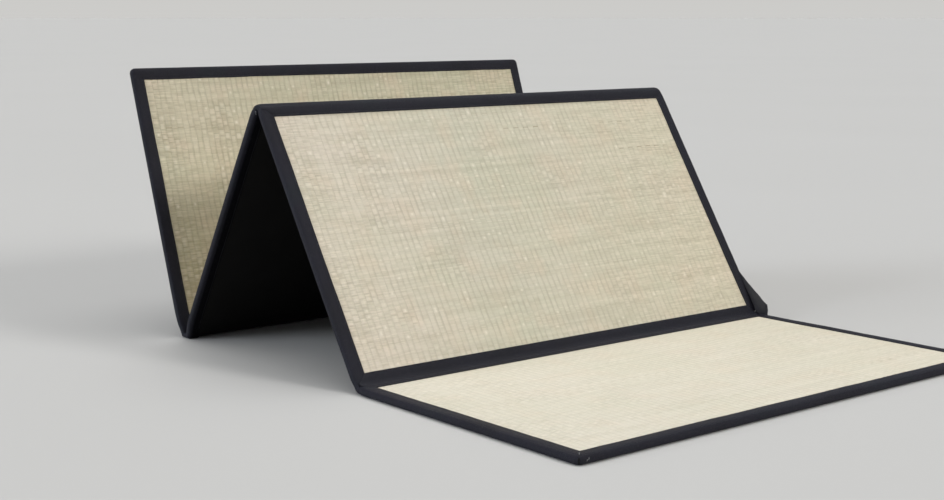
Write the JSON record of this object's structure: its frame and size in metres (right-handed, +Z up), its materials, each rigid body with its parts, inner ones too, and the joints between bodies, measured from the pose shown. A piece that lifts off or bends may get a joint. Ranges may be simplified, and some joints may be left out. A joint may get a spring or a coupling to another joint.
{
  "type": "folding tatami mat",
  "caption": "Folding floor mat of padded panels with a woven rush face and black cloth back and binding, set up in a zigzag on its cloth hinges.",
  "frame": {"origin": "on the floor, below the middle of the mat as it stands folded", "axes": "+X along the folds, +Y from the flat front panel to the leaning rear panel, +Z up"},
  "size_m": [0.9, 1.1652, 0.4598],
  "materials": {
    "rush": "woven rush, dry and slightly glossy, pale green to straw",
    "binding": "matt black cotton binding cloth",
    "backing": "dull black backing cloth"
  },
  "bodies": {
    "root": {"pad_a": "backing", "rush_a": "rush", "edge_left_a": "binding", "edge_right_a": "binding", "pad_b": "backing", "rush_b": "rush", "edge_left_b": "binding", "edge_right_b": "binding", "pad_c": "backing", "rush_c": "rush", "edge_left_c": "binding", "edge_right_c": "binding", "pad_d": "backing", "rush_d": "rush", "edge_left_d": "binding", "edge_right_d": "binding", "end_front": "binding", "end_back": "binding", "fold_ab": "binding", "fold_bc": "binding", "fold_cd": "binding", "gusset_ab": "binding"}
  },
  "joints": []
}
